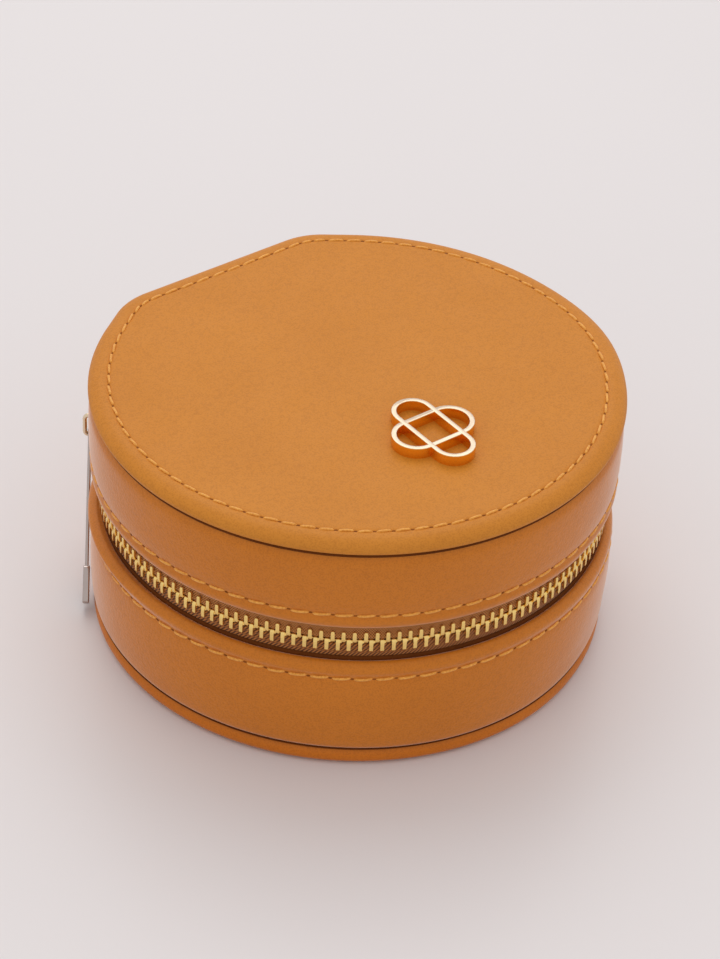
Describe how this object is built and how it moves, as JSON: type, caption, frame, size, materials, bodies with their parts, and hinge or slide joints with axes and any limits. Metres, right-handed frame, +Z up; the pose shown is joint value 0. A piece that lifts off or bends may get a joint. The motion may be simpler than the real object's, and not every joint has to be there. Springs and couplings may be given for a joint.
{
  "type": "leather jewellery case",
  "caption": "Round zip-around leather jewellery case with a flat leather hinge, padded ring rolls, divided compartments, a lid mirror and a leaning zip pull.",
  "frame": {"origin": "on the underside, where the axis of the round zip meets the surface the case stands on", "axes": "+Z up, +Y towards the hinge at the back, +X to the right when facing the front of the case"},
  "size_m": [0.116, 0.1118, 0.0629],
  "materials": {
    "leather": "smooth fine-grained caramel leather, low sheen",
    "board": "stiff fibre board, hidden",
    "suede_lining": "microsuede, matt and short-napped",
    "zip_tape": "woven brown zip tape",
    "zip_metal": "polished light gold zip metal",
    "gold_plate": "mirror-polished gold plate",
    "thread": "waxed golden-orange sewing thread",
    "mirror_glass": "silvered glass"
  },
  "bodies": {
    "base": {"base_panel_leather": "leather", "base_board": "board", "base_wall_leather": "leather", "base_wall_board": "board", "base_floor_lining": "suede_lining", "base_wall_lining": "suede_lining", "base_zip_tape": "zip_tape", "base_zip_teeth": "zip_metal", "base_zip_stops": "zip_metal", "base_wall_thread": "thread", "hinge_leather": "leather", "hinge_lining": "suede_lining", "divider_cross": "suede_lining", "divider_back": "suede_lining", "divider_left": "suede_lining", "divider_right": "suede_lining", "divider_front": "suede_lining", "ring_roll_1": "suede_lining", "ring_roll_2": "suede_lining", "ring_roll_3": "suede_lining", "ring_roll_4": "suede_lining"},
    "lid": {"lid_panel_leather": "leather", "lid_board": "board", "lid_wall_leather": "leather", "lid_wall_board": "board", "lid_wall_lining": "suede_lining", "lid_panel_lining": "suede_lining", "lid_zip_tape": "zip_tape", "lid_zip_teeth": "zip_metal", "lid_zip_stops": "zip_metal", "lid_wall_thread": "thread", "lid_panel_thread": "thread", "mirror_card": "board", "mirror_glass": "mirror_glass", "mirror_frame": "suede_lining", "emblem": "gold_plate", "emblem_washers": "gold_plate"},
    "slider": {"zip_slider": "zip_metal"},
    "bail": {"pull_bail": "gold_plate"},
    "tab": {"pull_tab": "gold_plate"}
  },
  "joints": [
    {"name": "lid_hinge", "type": "hinge", "parent": "base", "child": "lid", "pos_m": [0, 0.0522, 0.03265], "axis": [-1, 0, 0], "range_deg": [0, 110], "deforming": ["hinge_leather", "hinge_lining", "lid_zip_tape", "lid_zip_teeth"]},
    {"name": "zip_slide", "type": "hinge", "parent": "base", "child": "slider", "pos_m": [0, 0, 0.0329], "axis": [0, 0, 1], "range_deg": [0, 272], "deforming": ["base_zip_teeth"]},
    {"name": "pull_turn", "type": "hinge", "parent": "slider", "child": "bail", "pos_m": [-0.03403, 0.04684, 0.0329], "axis": [0, 0, 1], "range_deg": [-65, 0]},
    {"name": "pull_swing", "type": "hinge", "parent": "bail", "child": "tab", "pos_m": [-0.03403, 0.04684, 0.0303], "axis": [-0.809, 0.5878, 0], "range_deg": [0, 34]}
  ]
}
